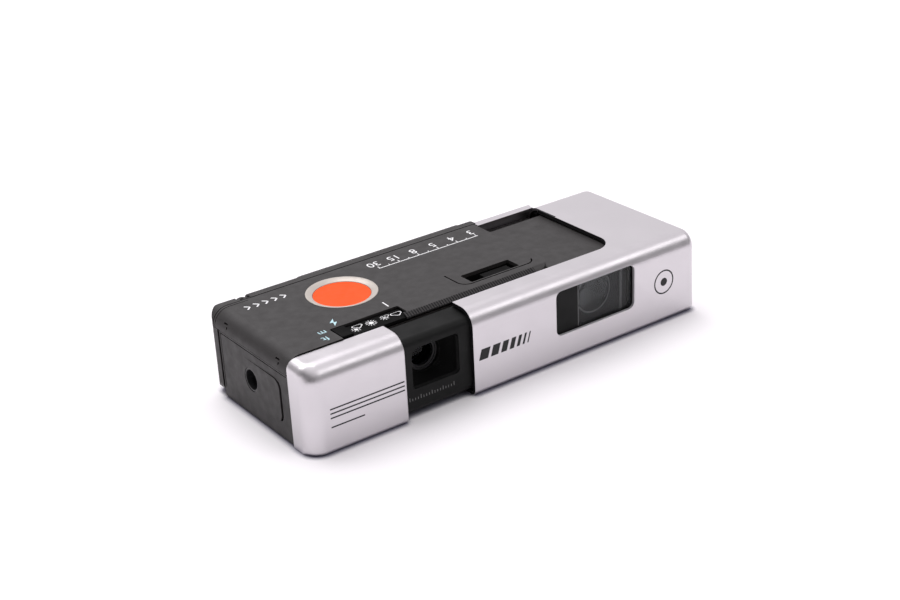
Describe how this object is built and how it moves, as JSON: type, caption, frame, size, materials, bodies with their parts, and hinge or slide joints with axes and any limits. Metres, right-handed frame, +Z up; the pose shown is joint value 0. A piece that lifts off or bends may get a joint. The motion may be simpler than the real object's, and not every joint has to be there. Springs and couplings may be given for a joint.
{
  "type": "pocket camera",
  "caption": "Flat pull-apart pocket camera for 110 cartridges: silver cap and sliding sleeve on a black body, orange release, weather slider, flash socket and film door.",
  "frame": {"origin": "under the middle of the whole camera with its sleeve pulled out, on the surface that it lies on", "axes": "+X along the camera towards the sleeve, +Y from the lens side to the film door, +Z up through the release button"},
  "size_m": [0.1484, 0.0576, 0.0286],
  "materials": {
    "silver_shell": "satin anodised, faintly lavender",
    "black_body": "fine grained moulded plastic",
    "fascia": "semi-gloss moulded plastic",
    "knob_plastic": "moulded plastic",
    "orange_button": "satin membrane",
    "cream_ring": "polished",
    "clear_plastic": "clear moulded plastic",
    "lens_glass": "coated glass",
    "steel": "brushed",
    "black_metal": "blackened",
    "contact_brass": "spring contact",
    "pale_plastic": "moulded"
  },
  "bodies": {
    "camera_body": {"grip_end": "black_body", "lens_block": "black_body", "film_chamber": "black_body", "finder_housing": "black_body", "top_cover": "black_body", "front_cap": "silver_shell", "front_panel": "fascia", "rear_shell": "black_body", "tripod_bush": "black_metal", "lens_barrel": "black_metal", "front_lens": "lens_glass", "middle_lens": "lens_glass", "lens_ring": "black_metal", "rear_lens_cell": "black_metal", "rear_lens": "lens_glass", "shutter_plate": "steel", "shutter_spring": "steel", "sensor_ring": "cream_ring", "sensor_spring": "steel", "lever_pin": "steel", "film_gate": "black_metal", "pawl_pin": "steel", "flash_socket": "knob_plastic", "flash_contacts": "contact_brass", "piezo_igniter": "pale_plastic", "viewfinder_window": "clear_plastic", "viewfinder_objective": "clear_plastic", "viewfinder_mask": "fascia", "viewfinder_eyepiece": "clear_plastic", "door_hinge_pin": "steel", "case_screws": "steel"},
    "sleeve": {"sliding_sleeve": "silver_shell", "sleeve_rack": "knob_plastic"},
    "wind": {"drive_pinion": "steel", "take_up_dog": "pale_plastic"},
    "weather": {"weather_slider": "knob_plastic", "aperture_plate": "black_metal"},
    "release": {"sensor_button": "orange_button"},
    "lever": {"release_lever": "steel"},
    "blade": {"shutter_blade": "black_metal"},
    "pawl": {"film_pawl": "steel"},
    "door": {"film_door": "black_body", "film_window": "clear_plastic", "cartridge_spring": "steel"},
    "latch": {"door_latch": "knob_plastic"}
  },
  "joints": [
    {"name": "sleeve_slide", "type": "slide", "parent": "camera_body", "child": "sleeve", "axis": [1, 0, 0], "range_m": [-0.0242, 0]},
    {"name": "wind_spin", "type": "hinge", "parent": "camera_body", "child": "wind", "pos_m": [0.0095, 0.0117, 0.002], "axis": [0, 0, 1], "range_deg": [-290, 0]},
    {"name": "weather_slide", "type": "slide", "parent": "camera_body", "child": "weather", "axis": [1, 0, 0], "range_m": [0, 0.0144]},
    {"name": "release_press", "type": "slide", "parent": "camera_body", "child": "release", "axis": [0, 0, -1], "range_m": [0, 0.0005], "stiffness_N_per_m": 1500, "springref_m": -0.0002, "deforming": ["sensor_spring"]},
    {"name": "lever_tilt", "type": "hinge", "parent": "camera_body", "child": "lever", "pos_m": [-0.03787, -0.0018, 0.0263], "axis": [-1, 0, 0], "range_deg": [0, 2.8]},
    {"name": "blade_swing", "type": "hinge", "parent": "camera_body", "child": "blade", "pos_m": [-0.0207, -0.0107, 0.0215], "axis": [0, -1, 0], "range_deg": [0, 46.1]},
    {"name": "pawl_feel", "type": "hinge", "parent": "camera_body", "child": "pawl", "pos_m": [-0.0082, 0.0178, 0.0212], "axis": [0, 0, 1], "range_deg": [0, 6], "stiffness_Nm_per_rad": 0.002, "springref_deg": -2.86},
    {"name": "door_swing", "type": "hinge", "parent": "camera_body", "child": "door", "pos_m": [-0.06245, 0.0265, 0.014], "axis": [0, 0, 1], "range_deg": [0, 90]},
    {"name": "latch_slide", "type": "slide", "parent": "door", "child": "latch", "axis": [1, 0, 0], "range_m": [0, 0.003]}
  ],
  "couplings": [
    {"joint": "wind_spin", "follows": "sleeve_slide", "rad_per_m": 208.33},
    {"joint": "lever_tilt", "follows": "release_press", "rad_per_m": 95.88},
    {"joint": "blade_swing", "follows": "release_press", "rad_per_m": 1605.7}
  ]
}
